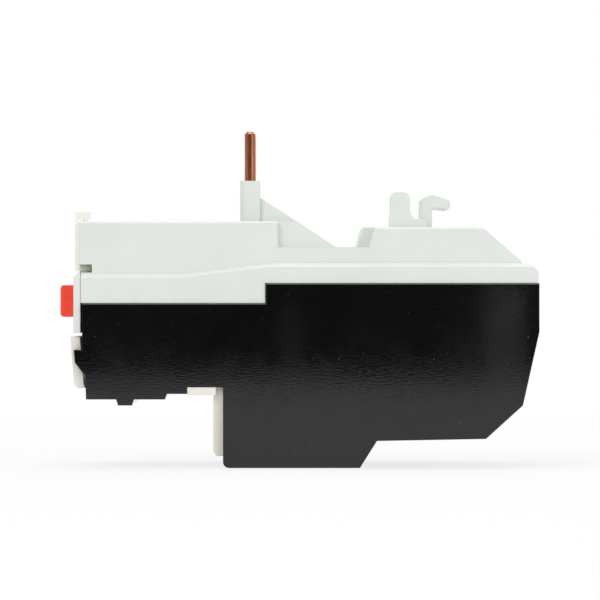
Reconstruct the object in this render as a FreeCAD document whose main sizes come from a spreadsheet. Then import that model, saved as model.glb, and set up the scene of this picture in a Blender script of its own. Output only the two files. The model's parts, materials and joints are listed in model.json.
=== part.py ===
"""Thermal overload relay: three-pole plug-in relay, modelled piece by piece.

Frame: the origin is on the middle line pin's axis, level with the top of its sheath.
+X runs from the operator's face to the mounting plate, +Z up towards the contactor.
"""
import FreeCAD, Part
import math
import os
import Sketcher

V = FreeCAD.Vector

# Every size in millimetres, by the group of pieces that it belongs to.
SIZES = {
    # both halves of the housing
    "body_width": 45.0,
    "base_wall": 1.7,
    "chamber_wall": 1.8,
    "lid_wall": 1.5,
    "partition": 1.2,
    "base_proud": 0.35,
    "base_setback": 0.3,
    "front_reach": 33.9,
    "block_overhang": 0.4,
    "bay_reach": 3.0,
    "bulkhead": 1.6,
    "chamber_length": 51.6,
    # clearances
    "cover_fit": 0.2,
    "running_fit": 0.05,
    "moving_gap": 0.3,
    # heights of the top housing, from the sheath's top down
    "sheath_height": 8.2,
    "block_height": 5.2,
    "rear_block_height": 4.0,
    "deck_to_joint": 7.2,
    "joint_step": 4.0,
    "front_ledge_height": 5.8,
    "rear_ledge_height": 4.0,
    "ledge_bevel": 0.8,
    "lid_inset": 1.0,
    # lengths of the top housing
    "block_reach": 5.8,
    "deck_length": 18.0,
    "rear_block_lean": 1.2,
    "rear_block_top": 21.5,
    "rear_slope_run": 8.0,
    "rear_slope_drop": 7.0,
    "rear_brow": 1.8,
    "ledge_ramp_start": 14.2,
    "ledge_ramp_end": 4.2,
    "core_step": 2.2,
    "core_width": 30.0,
    "wedge_inset": 2.2,
    "wedge_top": 3.6,
    "wedge_run": 7.8,
    "corner_round": 1.5,
    "rim_bevel": 0.4,
    # sheaths round the pins
    "sheath_front": 2.0,
    "sheath_rear": 2.0,
    "sheath_width": 4.4,
    "sheath_round": 1.3,
    "rib_thick": 2.4,
    "rib_top": 3.4,
    "boss_depth": 3.3,
    # post and hooks on the rear block
    "post_start": 28.1,
    "post_length": 3.95,
    "post_height": 7.0,
    "post_thick": 3.0,
    "post_offset": 17.6,
    "post_round": 1.3,
    "post_flare": 0.3,
    "web_run": 0.6,
    "web_height": 1.65,
    "hook_start": 34.8,
    "hook_stem": 2.1,
    "hook_height": 6.7,
    "hook_reach": 3.6,
    "hook_beak": 2.55,
    "hook_slant": 0.9,
    "hook_thick": 4.0,
    # base outline
    "rear_face_height": 9.8,
    "rear_tuck": 3.3,
    "rear_tuck_drop": 14.7,
    "heel_run": 7.4,
    "heel_drop": 6.7,
    "foot_rear": 22.0,
    "foot_lift": 5.4,
    "foot_slant": 3.4,
    "foot_front": 5.4,
    "foot_round": 1.2,
    "belly_front": 12.6,
    "aux_box_drop": 2.6,
    "aux_box_rear": 16.6,
    "aux_box_step": 1.1,
    "step_slant": 0.4,
    "lip_front": 26.4,
    "lip_thick": 2.8,
    "lip_drop": 1.2,
    "lip_slant": 0.4,
    "cheek_proud": 1.65,
    "cheek_drop": 9.4,
    "cheek_height": 5.2,
    "cheek_straight": 2.5,
    "cheek_thick": 1.2,
    "edge_bevel": 0.3,
    # rooms in the base
    "bay_floor_depth": 5.8,
    "deep_bay_front": 16.0,
    "shelf_width": 1.8,
    "shelf_thick": 1.5,
    "shelf_depth": 2.8,
    "bar_slot": 7.0,
    "bar_step": 2.1,
    "bar_step_depth": 8.2,
    "bar_floor_depth": 20.7,
    # power terminals
    "cell_width": 11.5,
    "cell_depth": 13.0,
    "cell_height": 12.9,
    "power_axis_rise": 6.2,
    "driver_radius": 3.0,
    "wire_slot_length": 6.2,
    "wire_slot_width": 8.8,
    "power_plate_setback": 7.0,
    "load_strip_drop": 0.8,
    "power_plate_thick": 1.2,
    "power_plate_width": 8.4,
    "strip_thick": 1.0,
    "strip_width": 4.8,
    "load_run": 13.0,
    "power_head_radius": 2.85,
    "power_head_thick": 3.0,
    "power_shank_radius": 1.9,
    "power_washer": 8.0,
    "washer_thick": 1.0,
    "slot_width": 0.8,
    "slot_depth": 1.2,
    # auxiliary terminals
    "aux_cell_width": 9.0,
    "aux_cell_height": 10.6,
    "aux_floor_thick": 1.4,
    "aux_axis_drop": 5.1,
    "aux_wire_length": 5.4,
    "aux_wire_width": 6.2,
    "aux_cell_setback": 0.8,
    "aux_plate_setback": 6.2,
    "aux_strip_drop": 0.7,
    "aux_strip_thick": 0.8,
    "aux_plate_width": 6.8,
    "aux_strip_width": 4.0,
    "aux_head_radius": 2.6,
    "aux_head_thick": 2.5,
    "aux_shank_radius": 1.45,
    "aux_washer": 6.4,
    "aux_washer_thick": 0.9,
    # covers over the terminals
    "aux_cover_thick": 1.9,
    "aux_cover_height": 9.6,
    "aux_cover_tilt": 0.8,
    "aux_cover_proud": 2.1,
    "power_cover_thick": 1.55,
    "power_cover_arm": 1.95,
    "power_cover_height": 13.8,
    # operator's face
    "panel_thick": 1.4,
    "panel_height": 12.1,
    "panel_above_ledge": 0.3,
    "panel_bevel": 1.0,
    "button_offset": 10.4,
    "button_rise": 0.4,
    "button_height": 6.4,
    "button_width": 7.0,
    "button_proud": 3.0,
    "button_round": 0.8,
    "button_travel": 2.5,
    "flange_thick": 0.8,
    "flange_setback": 0.48,
    "flange_lip": 0.55,
    "rod_side": 2.4,
    "reset_radius": 2.8,
    "knob_bevel": 0.5,
    "spigot_radius": 1.2,
    "spigot_length": 2.2,
    "test_radius": 1.3,
    "test_rod_side": 1.8,
    "test_offset": 6.0,
    "test_drop": 8.2,
    "test_travel": 2.0,
    # clear cover
    "cover_thick": 0.6,
    "cover_gap": 0.3,
    "cover_rise": 1.0,
    "cover_lift": 0.6,
    "cover_reach": 18.0,
    "hinge_inset": 1.95,
    "hinge_setback": 1.2,
    "knuckle_radius": 1.1,
    "pivot_radius": 0.5,
    "pivot_length": 1.6,
    "arm_thick": 1.4,
    "lower_arm_thick": 1.0,
    "pull_tab": 0.8,
    # setting dial and its slide
    "dial_radius": 4.0,
    "dial_flange": 0.5,
    "dial_flange_thick": 0.9,
    "dial_slot_length": 5.0,
    "dial_slot_width": 1.1,
    "dial_slot_depth": 0.7,
    "dial_offset": 7.0,
    "dial_drop": 6.1,
    "cam_start": 2.5,
    "cam_rise": 2.0,
    "cam_thick": 2.5,
    "slide_thick": 1.2,
    "slide_drop": 2.8,
    "slide_setback": 0.6,
    "slide_near": 8.0,
    "slide_far": 12.0,
    "slide_rear": 10.5,
    "finger_thick": 1.45,
    "rail_thick": 1.2,
    # trip linkage
    "lever_pivot_x": 14.0,
    "lever_pivot_y": 4.0,
    "lever_pin_radius": 1.0,
    "lever_boss_radius": 2.3,
    "lever_thick": 1.6,
    "lever_drop": 7.4,
    "lever_bar": 1.8,
    "lever_arm": 11.4,
    "lever_finger": 10.0,
    "trip_travel": 1.5,
    "bar_height": 2.0,
    "bar_near_gap": 1.1,
    "bar_far_gap": 0.4,
    "bar_setback": 0.4,
    "comb_tooth": 1.5,
    "comb_width": 2.5,
    "nose_width": 2.0,
    # contact carrier
    "carrier_thick": 2.4,
    "carrier_foot": 6.0,
    "carrier_travel": 1.3,
    "post_breadth": 7.0,
    "bridge_thick": 0.6,
    "bridge_height": 3.4,
    "bridge_standoff": 0.1,
    "contact_side": 2.2,
    "contact_thick": 0.9,
    "bridge_contact_thick": 0.4,
    # bimetals and heaters
    "pin_radius": 1.1,
    "pin_length": 9.95,
    "pin_tip": 0.5,
    "collar_side": 2.6,
    "bimetal_thick": 0.9,
    "bimetal_height": 5.5,
    "bimetal_drop": 13.4,
    "bimetal_root": 7.9,
    "heater_length": 28.0,
    "heater_setback": 5.3,
    "heater_wall": 0.7,
    "coil_rise": 0.4,
    "coil_width": 0.9,
}


class Dim:
    """A size held as a formula over the sheet's cells, together with its present value."""

    def __init__(self, formula, value):
        self.formula = formula
        self.value = value

    def __add__(self, other):
        return Dim("(%s + %s)" % (self.formula, formula(other)), self.value + number(other))

    def __radd__(self, other):
        return Dim("(%s + %s)" % (formula(other), self.formula), number(other) + self.value)

    def __sub__(self, other):
        return Dim("(%s - %s)" % (self.formula, formula(other)), self.value - number(other))

    def __rsub__(self, other):
        return Dim("(%s - %s)" % (formula(other), self.formula), number(other) - self.value)

    def __mul__(self, other):
        return Dim("(%s * %s)" % (self.formula, formula(other)), self.value * number(other))

    def __rmul__(self, other):
        return self * other

    def __truediv__(self, other):
        return Dim("(%s / %s)" % (self.formula, formula(other)), self.value / number(other))

    def __neg__(self):
        return Dim("(0 - %s)" % self.formula, -self.value)


def formula(size):
    """The sheet formula of a size, or a plain number as text."""
    if isinstance(size, Dim):
        return size.formula
    return "%.6f" % size


def number(size):
    """The present value of a size."""
    if isinstance(size, Dim):
        return size.value
    return float(size)


class Sheet:
    """The spreadsheet of driving sizes: each one is read as an attribute, as a Dim."""

    def __init__(self, doc, sizes):
        cells = doc.addObject("Spreadsheet::Sheet", "Sizes")
        for row, (name, value) in enumerate(sizes.items(), start=1):
            cells.set("A%d" % row, name)
            cells.set("B%d" % row, repr(value))
            cells.setAlias("B%d" % row, name)
        doc.recompute()
        for name in sizes:
            setattr(self, name, Dim("Sizes.%s" % name, float(cells.get(name))))


def polygon(*corners):
    """A closed outline with straight sides."""
    return list(corners)


def rectangle(low_u, low_v, high_u, high_v):
    """A rectangle between two corners."""
    return polygon((low_u, low_v), (high_u, low_v), (high_u, high_v), (low_u, high_v))


def square(centre_u, centre_v, side):
    """A square about its centre."""
    half = side / 2
    return rectangle(centre_u - half, centre_v - half, centre_u + half, centre_v + half)


def disc(centre_u, centre_v, radius):
    """A circle."""
    return (centre_u, centre_v, radius)


# A plane's role in the body's origin, and the sense of its normal along the third axis.
PLANES = {"XY": ("XY_Plane", 1), "XZ": ("XZ_Plane", -1), "YZ": ("YZ_Plane", 1)}
AXES = "xyz"
TOUCH = 0.01


class Piece:
    """One sub-part: a PartDesign body built up by pads, pockets and edge treatments."""

    made = []

    def __init__(self, label):
        self.body = doc.addObject("PartDesign::Body", label)
        self.body.Label = label
        self.count = 0
        Piece.made.append(self.body)

    def name(self, kind):
        """A readable name for the next feature of this body."""
        self.count += 1
        return "%s_%s_%d" % (self.body.Name, kind, self.count)

    def sketch(self, plane, outlines, offset):
        """A fully dimensioned sketch on one of the body's own origin planes."""
        role, sense = PLANES[plane]
        sketch = self.body.newObject("Sketcher::SketchObject", self.name("sketch"))
        support = [item for item in self.body.Origin.OriginFeatures if item.Role == role][0]
        sketch.AttachmentSupport = [(support, "")]
        sketch.MapMode = "FlatFace"
        sketch.setExpression("AttachmentOffset.Base.z", formula(offset * sense))
        for outline in outlines:
            if isinstance(outline, tuple):
                draw_circle(sketch, *outline)
            else:
                draw_polygon(sketch, outline)
        return sketch

    def extrude(self, kind, plane, outlines, low, high):
        """A pad or pocket that runs from low to high along the plane's own axis."""
        start = high if PLANES[plane][1] < 0 else low
        feature = self.body.newObject("PartDesign::" + kind, self.name(kind.lower()))
        sketch = self.sketch(plane, outlines, start)
        feature.Profile = sketch
        feature.setExpression("Length", formula(high - low))
        feature.Reversed = kind == "Pocket"
        self.body.Tip = feature
        sketch.Visibility = False
        return feature

    def pad(self, plane, outlines, low, high):
        """Add material."""
        return self.extrude("Pad", plane, outlines, low, high)

    def cut(self, plane, outlines, low, high):
        """Take material away."""
        return self.extrude("Pocket", plane, outlines, low, high)

    def edges(self, along, windows):
        """Names of the edges that run along an axis inside the given windows."""
        doc.recompute()
        names = []
        for index, edge in enumerate(self.body.Tip.Shape.Edges, start=1):
            if runs_along(edge, along) and inside(edge.BoundBox, windows):
                names.append("Edge%d" % index)
        if not names:
            raise ValueError("no edge to treat on " + self.body.Label)
        return names

    def fillet(self, radius, along, **windows):
        """Round the chosen edges."""
        names = self.edges(along, windows)
        base = self.body.Tip
        feature = self.body.newObject("PartDesign::Fillet", self.name("fillet"))
        feature.Base = (base, names)
        feature.setExpression("Radius", formula(radius))
        self.body.Tip = feature

    def chamfer(self, size, along, **windows):
        """Bevel the chosen edges."""
        names = self.edges(along, windows)
        base = self.body.Tip
        feature = self.body.newObject("PartDesign::Chamfer", self.name("chamfer"))
        feature.Base = (base, names)
        feature.setExpression("Size", formula(size))
        self.body.Tip = feature

    def repeat(self, feature, run, copies):
        """Repeat one feature along its own sketch's normal."""
        pattern = self.body.newObject("PartDesign::LinearPattern", self.name("pattern"))
        pattern.Originals = [feature]
        pattern.Direction = (feature.Profile[0], ["N_Axis"])
        pattern.Occurrences = copies
        pattern.setExpression("Length", formula(run))
        self.body.Tip = pattern

    def shift(self, **places):
        """Place the whole piece."""
        for axis, place in places.items():
            self.body.setExpression("Placement.Base." + axis, formula(place))


def draw_polygon(sketch, corners):
    """Straight sides, each corner held by its two coordinates."""
    first = sketch.GeometryCount
    points = [V(number(u), number(v), 0) for u, v in corners]
    sides = len(points)
    lines = [Part.LineSegment(points[i], points[(i + 1) % sides]) for i in range(sides)]
    sketch.addGeometry(lines, False)
    joins = []
    for i in range(sides):
        joins.append(Sketcher.Constraint("Coincident", first + i, 2, first + (i + 1) % sides, 1))
    sketch.addConstraint(joins)
    for i, (u, v) in enumerate(corners):
        hold(sketch, Sketcher.Constraint("DistanceX", first + i, 1, number(u)), u)
        hold(sketch, Sketcher.Constraint("DistanceY", first + i, 1, number(v)), v)


def draw_circle(sketch, centre_u, centre_v, radius):
    """A circle held by its centre and radius."""
    index = sketch.GeometryCount
    centre = V(number(centre_u), number(centre_v), 0)
    sketch.addGeometry(Part.Circle(centre, V(0, 0, 1), number(radius)), False)
    hold(sketch, Sketcher.Constraint("DistanceX", index, 3, number(centre_u)), centre_u)
    hold(sketch, Sketcher.Constraint("DistanceY", index, 3, number(centre_v)), centre_v)
    hold(sketch, Sketcher.Constraint("Radius", index, number(radius)), radius)


def hold(sketch, constraint, size):
    """Add a dimension and bind it to the sheet."""
    index = sketch.addConstraint(constraint)
    if isinstance(size, Dim):
        sketch.setExpression("Constraints[%d]" % index, formula(size))


def runs_along(edge, along):
    """Whether an edge runs along one axis, or lies square to it when the axis has a minus."""
    if along is None:
        return True
    ends = edge.BoundBox
    spans = (ends.XLength, ends.YLength, ends.ZLength)
    axis = AXES.index(along[-1])
    if along.startswith("-"):
        return spans[axis] < TOUCH
    return all(span < TOUCH for i, span in enumerate(spans) if i != axis)


def inside(box, windows):
    """Whether a bounding box lies inside every given window (low, high)."""
    lows = (box.XMin, box.YMin, box.ZMin)
    highs = (box.XMax, box.YMax, box.ZMax)
    for axis, (low, high) in windows.items():
        index = AXES.index(axis)
        if lows[index] < number(low) - TOUCH or highs[index] > number(high) + TOUCH:
            return False
    return True


def at(place):
    """A window that holds one place only."""
    return (place, place)


doc = FreeCAD.newDocument("overload_relay")
S = Sheet(doc, SIZES)

# Stations along X, from the operator's face to the mounting plate.
skirt_front = -S.front_reach
lid_front = skirt_front - S.block_overhang
base_front = skirt_front + S.base_setback
bulkhead_front = S.bay_reach
chamber_front = bulkhead_front + S.bulkhead
chamber_rear = chamber_front + S.chamber_length
rear_face = chamber_rear + S.base_wall
deck_rear = S.block_reach + S.deck_length
rear_top_start = deck_rear + S.rear_block_lean
rear_top_end = rear_top_start + S.rear_block_top
rear_slope_end = rear_top_end + S.rear_slope_run
cell_front = -S.foot_front
cell_rear = cell_front + S.cell_depth
deep_chamber_front = cell_rear + S.base_wall
aux_cell_front = base_front + S.aux_cell_setback
aux_cell_rear = -S.deep_bay_front - S.bulkhead
panel_front = skirt_front - S.running_fit - S.panel_thick
flange_front = skirt_front + S.flange_setback
hinge_x = lid_front + S.hinge_setback
cam_front = lid_front + S.lid_wall + S.dial_flange_thick
cam_rear = cam_front + S.cam_thick
slide_front = cam_rear + S.slide_setback
carrier_front = -S.lever_pivot_x + S.lever_bar / 2 + S.moving_gap
carrier_rear = carrier_front + S.carrier_thick
bridge_front = carrier_front - S.bridge_standoff - S.bridge_thick
open_bridge_front = carrier_rear + S.bridge_standoff
plate_front = cell_front + S.power_plate_setback
plate_rear = plate_front + S.power_plate_thick
aux_plate_front = aux_cell_front + S.aux_plate_setback
aux_plate_rear = aux_plate_front + S.aux_strip_thick
bar_front = chamber_front + S.bar_setback
comb_front = chamber_front + S.bar_slot - S.bar_step - S.comb_width - S.moving_gap
comb_rear = comb_front + S.comb_width
bimetal_front = comb_front + S.moving_gap
bimetal_rear = chamber_rear - S.bimetal_root

# Levels along Z, from the sheath's top down.
SHEATH_TOP = 0
block_top = -S.sheath_height
deck = block_top - S.block_height
rear_top = deck + S.rear_block_height
rear_joint = deck - S.deck_to_joint
front_joint = rear_joint - S.joint_step
front_ledge = front_joint + S.front_ledge_height
rear_ledge = rear_joint + S.rear_ledge_height
panel_top = front_ledge + S.panel_above_ledge
bay_floor = front_joint - S.bay_floor_depth
aux_ceiling = bay_floor - S.lid_wall
aux_floor = aux_ceiling - S.aux_cell_height
aux_axis = aux_ceiling - S.aux_axis_drop
aux_box_bottom = aux_floor - S.aux_floor_thick
belly = aux_box_bottom + S.aux_box_drop
deep_bay_floor = belly + S.base_wall
bar_step_level = rear_joint - S.bar_step_depth
bar_floor = rear_joint - S.bar_floor_depth
cell_ceiling = bar_floor - S.base_wall
cell_floor = cell_ceiling - S.cell_height
power_axis = cell_floor + S.power_axis_rise
bottom = cell_floor - S.base_wall
foot_roof = bottom + S.foot_lift
heel_level = rear_joint - S.rear_face_height - S.rear_tuck_drop - S.heel_drop
button_level = front_joint + S.button_rise
dial_level = block_top - S.dial_drop
test_level = block_top - S.test_drop
slide_top = block_top - S.slide_drop
slide_bottom = slide_top - S.slide_thick
lever_top = block_top - S.lever_drop
lever_bottom = lever_top - S.lever_thick
contact_level = button_level
bimetal_level = rear_joint - S.bimetal_drop
cover_bottom = front_ledge + S.cover_lift
lower_arm_top = cover_bottom + S.lower_arm_thick
load_strip_top = cell_ceiling - S.base_wall - S.load_strip_drop
load_strip_bottom = load_strip_top - S.strip_thick
aux_strip_top = aux_ceiling - S.aux_strip_drop
aux_strip_bottom = aux_strip_top - S.aux_strip_thick
trip_bar_bottom = bar_step_level + S.moving_gap
trip_bar_top = trip_bar_bottom + S.bar_height

# Half widths along Y.
base_half = S.body_width / 2
skirt_half = base_half - S.base_proud
lid_half = skirt_half - S.lid_inset
cheek_inner = base_half - S.cheek_thick
room_half = base_half - S.base_wall
phase_pitch = (base_half - S.chamber_wall + S.partition / 2) * 2 / 3
chamber_width = phase_pitch - S.partition
phases = {phase: phase_pitch * (phase - 2) for phase in (1, 2, 3)}
aux_places = {place: room_half * (place - 2.5) / 2 for place in (1, 2, 3, 4)}
hinge_y = -lid_half + S.hinge_inset
stop_y = -S.button_offset
reset_y = S.button_offset
chamber_half = base_half - S.chamber_wall
bar_near = -chamber_half + S.bar_near_gap
bar_far = chamber_half - S.trip_travel - S.bar_far_gap
nose_near = S.lever_pivot_y - S.lever_bar / 2 - S.moving_gap - S.nose_width


def base_outline():
    """Side outline of the base, clockwise from the front of the parting line."""
    tuck_level = rear_joint - S.rear_face_height - S.rear_tuck_drop
    cheek_top = front_joint - S.cheek_drop
    cheek_front = base_front - S.cheek_proud
    step_level = aux_box_bottom + S.aux_box_step
    lip_rear = -S.lip_front + S.lip_thick
    return polygon(
        (base_front, front_joint),
        (bulkhead_front, front_joint),
        (bulkhead_front, rear_joint),
        (rear_face, rear_joint),
        (rear_face, rear_joint - S.rear_face_height),
        (rear_face - S.rear_tuck, tuck_level),
        (rear_face - S.rear_tuck - S.heel_run, heel_level),
        (S.foot_rear + S.foot_slant, foot_roof),
        (S.foot_rear, bottom),
        (cell_front, bottom),
        (cell_front, belly),
        (-S.belly_front, belly),
        (-S.belly_front, step_level),
        (-S.aux_box_rear, step_level),
        (-S.aux_box_rear - S.step_slant, aux_box_bottom),
        (lip_rear + S.lip_slant, aux_box_bottom),
        (lip_rear, aux_box_bottom - S.lip_drop),
        (-S.lip_front, aux_box_bottom - S.lip_drop),
        (-S.lip_front - S.lip_slant, aux_box_bottom),
        (base_front + 0.8, aux_box_bottom),
        (base_front + 0.6, cheek_top - S.cheek_height),
        (cheek_front + 0.2, cheek_top - S.cheek_straight),
        (cheek_front, cheek_top),
        (base_front, cheek_top),
    )


def base_shell():
    """Black lower half: heater chambers, mechanism bay, terminal cells and foot."""
    base = Piece("base_shell")
    base.pad("XZ", [base_outline()], -base_half, base_half)
    base.chamfer(S.edge_bevel, "-y", y=at(base_half), z=(front_joint, rear_joint))
    base.chamfer(S.edge_bevel, "-y", y=at(-base_half), z=(front_joint, rear_joint))
    base.fillet(S.foot_round, "y", x=at(cell_front), z=at(bottom))
    cut_chambers(base)
    cut_bay(base)
    cut_power_cells(base)
    cut_aux_cells(base)
    base.cut("YZ", [button_notch(side) for side in (-1, 1)], base_front - 1, base_front + S.base_wall + 1)
    shelf_top = bay_floor + S.shelf_depth
    for low, high in ((-room_half, S.shelf_width - room_half), (room_half - S.shelf_width, room_half)):
        shelf = rectangle(-S.deep_bay_front, shelf_top - S.shelf_thick, -2, shelf_top)
        base.pad("XZ", [shelf], low, high)
    return base


def cut_chambers(base):
    """One chamber for each phase, joined at the front where the trip bars pass."""
    inner_heel = heel_level + S.base_wall
    room = polygon(
        (chamber_front, rear_joint + 1),
        (chamber_rear, rear_joint + 1),
        (chamber_rear, rear_joint - S.rear_face_height),
        (chamber_rear - S.rear_tuck, rear_joint - S.rear_face_height - S.rear_tuck_drop + 0.8),
        (chamber_rear - S.rear_tuck - S.heel_run + 1, inner_heel),
        (deep_chamber_front, inner_heel),
        (deep_chamber_front, bar_floor),
        (chamber_front, bar_floor),
    )
    half = chamber_width / 2
    for centre in phases.values():
        base.cut("XZ", [room], centre - half, centre + half)
    passage = polygon(
        (chamber_front, rear_joint + 1),
        (chamber_front + S.bar_slot, rear_joint + 1),
        (chamber_front + S.bar_slot, bar_step_level),
        (chamber_front + S.bar_slot - S.bar_step, bar_step_level),
        (chamber_front + S.bar_slot - S.bar_step, bar_floor),
        (chamber_front, bar_floor),
    )
    base.cut("XZ", [passage], -phase_pitch, phase_pitch)
    core_half = half - 0.9
    cores = [rectangle(deep_chamber_front + S.base_wall, y - core_half, S.foot_rear - S.base_wall, y + core_half)
             for y in phases.values()]
    base.cut("XY", cores, bottom - 1, foot_roof - 0.4)


def cut_bay(base):
    """The mechanism's room, open to the top housing, and the trip bar's way into it."""
    top = front_joint + 1
    bay = polygon(
        (base_front + S.base_wall, top),
        (bulkhead_front, top),
        (bulkhead_front, deep_bay_floor),
        (-S.deep_bay_front, deep_bay_floor),
        (-S.deep_bay_front, bay_floor),
        (base_front + S.base_wall, bay_floor),
    )
    base.cut("XZ", [bay], -room_half, room_half)
    way = rectangle(nose_near - S.moving_gap - 0.2, trip_bar_bottom - 0.5,
                    nose_near + S.nose_width + S.trip_travel + S.moving_gap, rear_joint + 1)
    base.cut("YZ", [way], bulkhead_front - 1, chamber_front + 1)


def cut_power_cells(base):
    """Three cells, open to the front and with a wire entry below each."""
    half = S.cell_width / 2
    for centre in phases.values():
        cell = rectangle(cell_front - 1, cell_floor, cell_rear, cell_ceiling)
        base.cut("XZ", [cell], centre - half, centre + half)
    rebate = rectangle(-cheek_inner, cell_floor - 0.1, cheek_inner, belly + 0.1)
    base.cut("YZ", [rebate], cell_front - 1, cell_front + 0.4)
    slot_half = S.wire_slot_width / 2
    slot_front = cell_front + 0.7
    slots = [rectangle(slot_front, y - slot_half, slot_front + S.wire_slot_length, y + slot_half)
             for y in phases.values()]
    base.cut("XY", slots, bottom - 1, cell_floor + 1)
    strip_half = S.strip_width / 2 + 0.1
    ways = [rectangle(y - strip_half, load_strip_bottom - 0.1, y + strip_half, load_strip_top + 0.1)
            for y in phases.values()]
    base.cut("YZ", ways, cell_rear - 1, deep_chamber_front + 1)


def cut_aux_cells(base):
    """Four cells behind the sloping cover, with a wire entry below each."""
    half = S.aux_cell_width / 2
    for centre in aux_places.values():
        cell = rectangle(aux_cell_front - 1, aux_floor, aux_cell_rear, aux_ceiling)
        base.cut("XZ", [cell], centre - half, centre + half)
    rebate = rectangle(-cheek_inner, aux_floor, cheek_inner, aux_ceiling + 0.7)
    base.cut("YZ", [rebate], base_front - S.cheek_proud - 1, aux_cell_front)
    slot_half = S.aux_wire_width / 2
    slot_front = aux_cell_front + 0.9
    slots = [rectangle(slot_front, y - slot_half, slot_front + S.aux_wire_length, y + slot_half)
             for y in aux_places.values()]
    base.cut("XY", slots, aux_box_bottom - S.lip_drop - 1, aux_floor + 1)
    strip_half = S.aux_strip_width / 2 + 0.2
    ways = [rectangle(y - strip_half, aux_strip_bottom - 0.3, y + strip_half, aux_strip_top + 0.3)
            for y in aux_places.values()]
    base.cut("YZ", ways, aux_cell_rear - 1, 1 - S.deep_bay_front)


def button_notch(side):
    """Where a button's flange passes the front walls, on one side of the middle."""
    half_width = S.button_width / 2 + S.flange_lip + S.moving_gap
    half_height = S.button_height / 2 + S.flange_lip + S.moving_gap
    centre = S.button_offset * side
    return rectangle(centre - half_width, button_level - half_height,
                     centre + half_width, button_level + half_height)


def top_housing():
    """Pale upper half: skirt, front block, rear block, sheaths, post and hooks."""
    lid = Piece("top_housing")
    lid.pad("XZ", [skirt_outline()], -skirt_half, skirt_half)
    lid.pad("XZ", [upper_outline()], -lid_half, lid_half)
    wedge_end = S.block_reach + S.wedge_top
    wedge = polygon((S.block_reach - 1, block_top), (wedge_end, block_top),
                    (wedge_end + S.wedge_run, deck), (wedge_end + S.wedge_run, deck - 1),
                    (S.block_reach - 1, deck - 1))
    wedge_half = lid_half - S.wedge_inset
    lid.pad("XZ", [wedge], -wedge_half, wedge_half)
    core = polygon((deck_rear - S.core_step, deck - 1), (deck_rear - S.core_step, deck),
                   (rear_top_start - S.core_step, rear_top), (rear_top_start + 1, rear_top),
                   (rear_top_start + 1, deck - 1))
    lid.pad("XZ", [core], -S.core_width / 2, S.core_width / 2)
    treat_block_edges(lid)
    add_sheaths(lid)
    hollow_lid(lid)
    add_bosses(lid)
    cut_lid_openings(lid)
    add_hinge_pillar(lid)
    add_slide_rails(lid)
    add_post_and_hooks(lid)
    return lid


def skirt_outline():
    """The wide lower band of the top housing, up to its ledge."""
    back = rear_face - S.base_proud / 2
    return polygon(
        (skirt_front, front_joint),
        (skirt_front, front_ledge),
        (-S.ledge_ramp_start, front_ledge),
        (S.ledge_ramp_end, rear_ledge),
        (rear_slope_end, rear_ledge),
        (rear_slope_end + S.rear_brow, rear_ledge - 0.2),
        (back, rear_ledge - S.rear_brow),
        (back, rear_joint),
        (bulkhead_front - S.running_fit, rear_joint),
        (bulkhead_front - S.running_fit, front_joint),
    )


def upper_outline():
    """The narrower upper body: front block, deck and rear block."""
    return polygon(
        (skirt_front, front_ledge - 1),
        (skirt_front, panel_top + S.running_fit),
        (lid_front, panel_top + S.running_fit),
        (lid_front, block_top),
        (S.block_reach, block_top),
        (S.block_reach, deck),
        (deck_rear, deck),
        (rear_top_start, rear_top),
        (rear_top_end, rear_top),
        (rear_slope_end, rear_top - S.rear_slope_drop),
        (rear_slope_end, rear_ledge - 1),
        (S.ledge_ramp_end, rear_ledge - 1),
        (-S.ledge_ramp_start, front_ledge - 1),
    )


def treat_block_edges(lid):
    """Soft rims on the blocks and a bevel on the skirt's ledge."""
    ends = (lid_front, S.block_reach)
    for side in (-1, 1):
        flank = at(lid_half * side)
        lid.fillet(S.corner_round, "z", x=at(S.block_reach), y=flank)
        lid.chamfer(S.rim_bevel, "-z", x=ends, y=side_window(side), z=at(block_top))
        lid.chamfer(S.ledge_bevel, "-y", y=at(skirt_half * side), z=(front_ledge, rear_ledge),
                    x=(skirt_front, rear_slope_end))
        lid.chamfer(S.rim_bevel, "x", y=flank, z=at(rear_top))


def side_window(side):
    """The outer stretch of Y on one side."""
    if side < 0:
        return (-lid_half, -lid_half + S.corner_round)
    return (lid_half - S.corner_round, lid_half)


def add_sheaths(lid):
    """A sheath round each pin, with its rib falling back towards the deck."""
    half = S.sheath_width / 2
    rib_half = S.rib_thick / 2
    for centre in phases.values():
        box = rectangle(-S.sheath_front, centre - half, S.sheath_rear, centre + half)
        lid.pad("XY", [box], block_top - 1, SHEATH_TOP)
        rib = polygon((S.sheath_rear - 1, -S.rib_top), (S.sheath_rear, -S.rib_top),
                      (S.block_reach + S.wedge_top, block_top), (S.sheath_rear - 1, block_top - 0.5))
        lid.pad("XZ", [rib], centre - rib_half, centre + rib_half)
        lid.fillet(S.sheath_round, "z", x=at(-S.sheath_front), y=(centre - half, centre + half),
                   z=(block_top, 0))


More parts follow.
